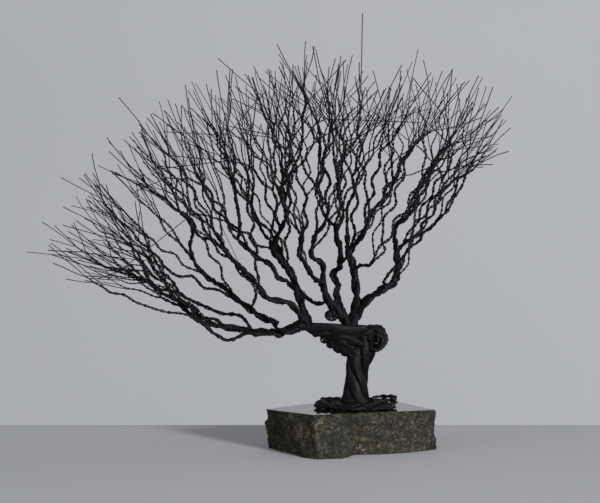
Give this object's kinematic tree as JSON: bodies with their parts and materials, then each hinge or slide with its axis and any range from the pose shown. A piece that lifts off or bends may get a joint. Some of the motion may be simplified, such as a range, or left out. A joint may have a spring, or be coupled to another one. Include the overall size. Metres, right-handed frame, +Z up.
{
  "type": "wire tree sculpture",
  "caption": "Windswept bonsai-like tree twisted from fine black wire, its crown a flat fan of bare twigs, on a small split granite block.",
  "frame": {"origin": "on the granite block's flat underside, straight below the middle of the trunk's foot", "axes": "+X runs to the viewer's right along the long side of the crown, +Y to the back, +Z up along the trunk"},
  "size_m": [0.3362, 0.0852, 0.305],
  "materials": {
    "granite": "split rough sides with a polished flat top",
    "black_wire": "satin black annealed iron wire"
  },
  "bodies": {
    "root": {"granite_block": "granite", "trunk": "black_wire", "shoulder": "black_wire", "knot_coil": "black_wire", "crown_stem": "black_wire", "root_loops": "black_wire", "low_limb": "black_wire", "low_front": "black_wire", "low_back": "black_wire", "low_mid": "black_wire", "left_sweep": "black_wire", "left_rise": "black_wire", "left_upright": "black_wire", "thin_limb": "black_wire", "thin_fork": "black_wire", "heart_limb": "black_wire", "left_limb": "black_wire", "link_limb": "black_wire", "centre_limb": "black_wire", "centre_fork": "black_wire", "cross_limb": "black_wire", "back_limb": "black_wire", "main_limb": "black_wire", "right_bend": "black_wire", "right_hook": "black_wire", "leader": "black_wire", "right_limb": "black_wire", "right_front": "black_wire", "right_outer": "black_wire", "right_mid": "black_wire", "right_twist": "black_wire", "right_inner": "black_wire", "back_rise": "black_wire", "centre_rise": "black_wire", "centre_left": "black_wire", "upper_left": "black_wire", "link_rise": "black_wire", "heart_rise": "black_wire", "inner_rise": "black_wire", "thin_rise": "black_wire", "fork_rise": "black_wire"}
  },
  "joints": []
}
